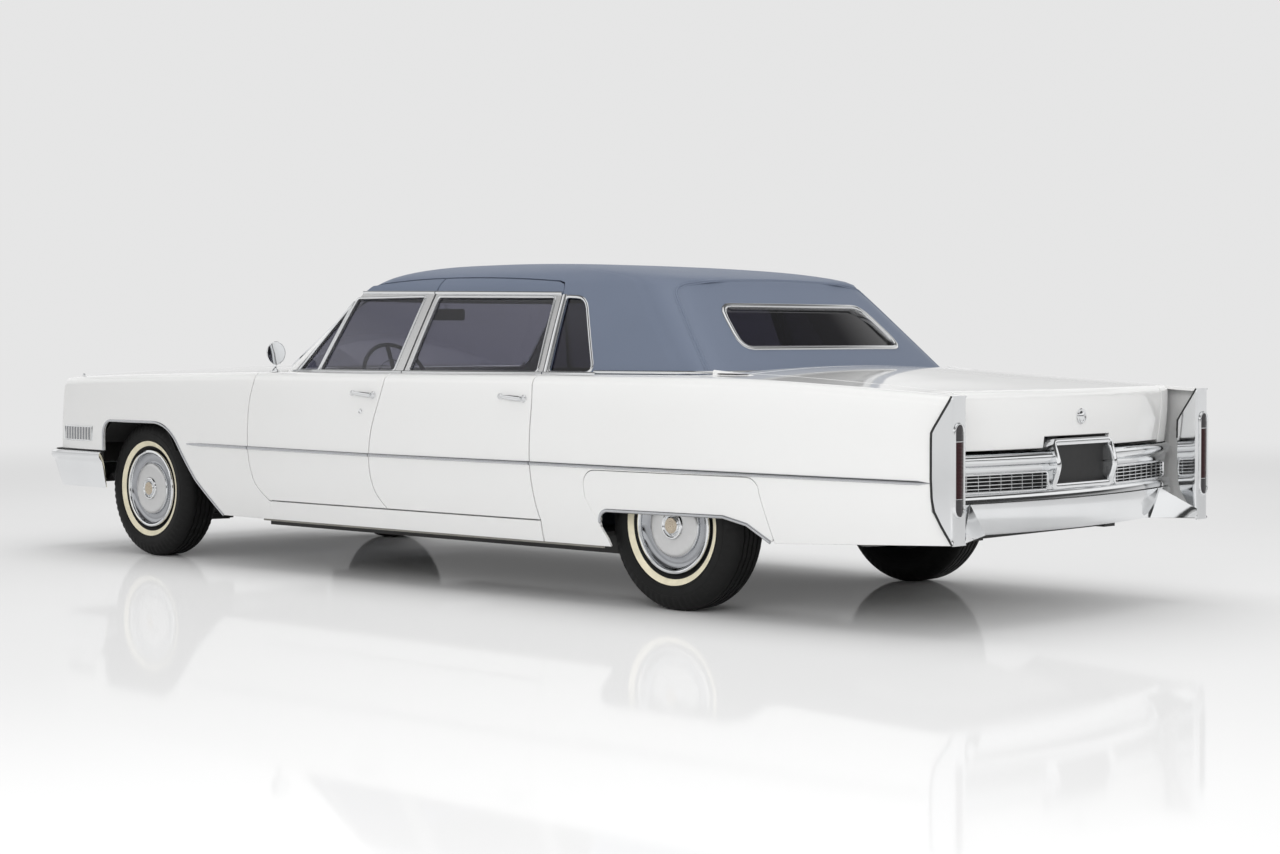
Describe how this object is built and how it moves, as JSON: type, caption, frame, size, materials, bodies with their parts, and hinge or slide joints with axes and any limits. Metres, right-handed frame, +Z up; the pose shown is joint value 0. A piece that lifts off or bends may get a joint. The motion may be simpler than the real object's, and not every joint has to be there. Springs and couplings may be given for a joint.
{
  "type": "limousine",
  "caption": "Long formal six-window saloon car on a separate frame, with doors, bonnet and boot lid that open, steered front wheels and a covered roof.",
  "frame": {"origin": "middle of the car's footprint, on the floor", "axes": "+X forward, +Y to the car's left, +Z up"},
  "size_m": [6.21, 2.0292, 1.512],
  "materials": {
    "paint": "gloss white paint",
    "roof_cloth": "grained blue-grey roof covering",
    "tinted_glass": "dark tinted glass",
    "chrome": "bright plate",
    "clear_lamp": "clear pressed glass",
    "red_lamp": "smoked red lens",
    "cabin_trim": "satin cabin trim",
    "seat_cloth": "woven seat cloth",
    "dark_plastic": "dark moulded rim",
    "tyre": "black rubber with a white side ring",
    "chassis_steel": "black chassis paint"
  },
  "bodies": {
    "body": {"chassis_frame": "chassis_steel", "floor_pan": "chassis_steel", "radiator_support": "chassis_steel", "sills": "paint", "cowl": "paint", "front_wing_left": "paint", "front_wing_right": "paint", "roof": "roof_cloth", "quarter_left": "paint", "quarter_right": "paint", "wheel_skirts": "paint", "rear_deck": "paint", "tail_panel": "paint", "windscreen": "tinted_glass", "backlight": "tinted_glass", "quarter_glass": "tinted_glass", "centre_posts": "cabin_trim", "partition": "cabin_trim", "front_bumper": "chrome", "grille": "chrome", "headlamps": "clear_lamp", "corner_lamps": "clear_lamp", "rear_bumper": "chrome", "rear_grilles": "chrome", "tail_lamps": "red_lamp", "dashboard": "cabin_trim", "front_seat": "seat_cloth", "rear_seat": "seat_cloth", "engine": "chassis_steel", "front_suspension": "chassis_steel", "rear_axle": "chassis_steel", "driveline": "chassis_steel", "fuel_tank": "chassis_steel"},
    "door_fl": {"door_front_left": "paint", "glass_front_left": "tinted_glass", "door_mirror": "chrome"},
    "door_fr": {"door_front_right": "paint", "glass_front_right": "tinted_glass"},
    "door_rl": {"door_rear_left": "paint", "glass_rear_left": "tinted_glass"},
    "door_rr": {"door_rear_right": "paint", "glass_rear_right": "tinted_glass"},
    "bonnet": {"bonnet": "paint"},
    "boot": {"boot_lid": "paint"},
    "knuckle_l": {"knuckle_left": "chassis_steel"},
    "knuckle_r": {"knuckle_right": "chassis_steel"},
    "wheel_fl": {"wheel_front_left": "chrome", "tyre_front_left": "tyre"},
    "wheel_fr": {"wheel_front_right": "chrome", "tyre_front_right": "tyre"},
    "wheel_rl": {"wheel_rear_left": "chrome", "tyre_rear_left": "tyre"},
    "wheel_rr": {"wheel_rear_right": "chrome", "tyre_rear_right": "tyre"},
    "steering": {"steering_wheel": "dark_plastic"}
  },
  "joints": [
    {"name": "door_front_left_hinge", "type": "hinge", "parent": "body", "child": "door_fl", "pos_m": [1.131, 1.007, 0.6], "axis": [0, 0, -1], "range_deg": [0, 68]},
    {"name": "door_front_right_hinge", "type": "hinge", "parent": "body", "child": "door_fr", "pos_m": [1.131, -1.007, 0.6], "axis": [0, 0, 1], "range_deg": [0, 68]},
    {"name": "door_rear_left_hinge", "type": "hinge", "parent": "body", "child": "door_rl", "pos_m": [0.183, 1.01, 0.6], "axis": [0, 0, -1], "range_deg": [0, 68]},
    {"name": "door_rear_right_hinge", "type": "hinge", "parent": "body", "child": "door_rr", "pos_m": [0.183, -1.01, 0.6], "axis": [0, 0, 1], "range_deg": [0, 68]},
    {"name": "bonnet_hinge", "type": "hinge", "parent": "body", "child": "bonnet", "pos_m": [1.225, 0, 1], "axis": [0, -1, 0], "range_deg": [0, 48]},
    {"name": "boot_lid_hinge", "type": "hinge", "parent": "body", "child": "boot", "pos_m": [-1.945, 0, 1.022], "axis": [0, 1, 0], "range_deg": [0, 70]},
    {"name": "steer_left", "type": "hinge", "parent": "body", "child": "knuckle_l", "pos_m": [2.174, 0.698, 0.36], "axis": [0, 0, 1], "range_deg": [-30, 30]},
    {"name": "steer_right", "type": "hinge", "parent": "body", "child": "knuckle_r", "pos_m": [2.174, -0.698, 0.36], "axis": [0, 0, 1], "range_deg": [-30, 30]},
    {"name": "steering_wheel_turn", "type": "hinge", "parent": "body", "child": "steering", "pos_m": [0.685, 0.42, 0.93], "axis": [-0.9272, 0, 0.3746], "range_deg": [-540, 540]},
    {"name": "wheel_front_left_spin", "type": "hinge", "parent": "knuckle_l", "child": "wheel_fl", "pos_m": [2.174, 0.794, 0.36], "axis": [0, 1, 0], "continuous": true},
    {"name": "wheel_front_right_spin", "type": "hinge", "parent": "knuckle_r", "child": "wheel_fr", "pos_m": [2.174, -0.794, 0.36], "axis": [0, 1, 0], "continuous": true},
    {"name": "wheel_rear_left_spin", "type": "hinge", "parent": "body", "child": "wheel_rl", "pos_m": [-1.63, 0.794, 0.36], "axis": [0, 1, 0], "continuous": true},
    {"name": "wheel_rear_right_spin", "type": "hinge", "parent": "body", "child": "wheel_rr", "pos_m": [-1.63, -0.794, 0.36], "axis": [0, 1, 0], "continuous": true}
  ],
  "couplings": [
    {"joint": "steer_right", "follows": "steer_left", "ratio": 1},
    {"joint": "steering_wheel_turn", "follows": "steer_left", "ratio": 18}
  ]
}
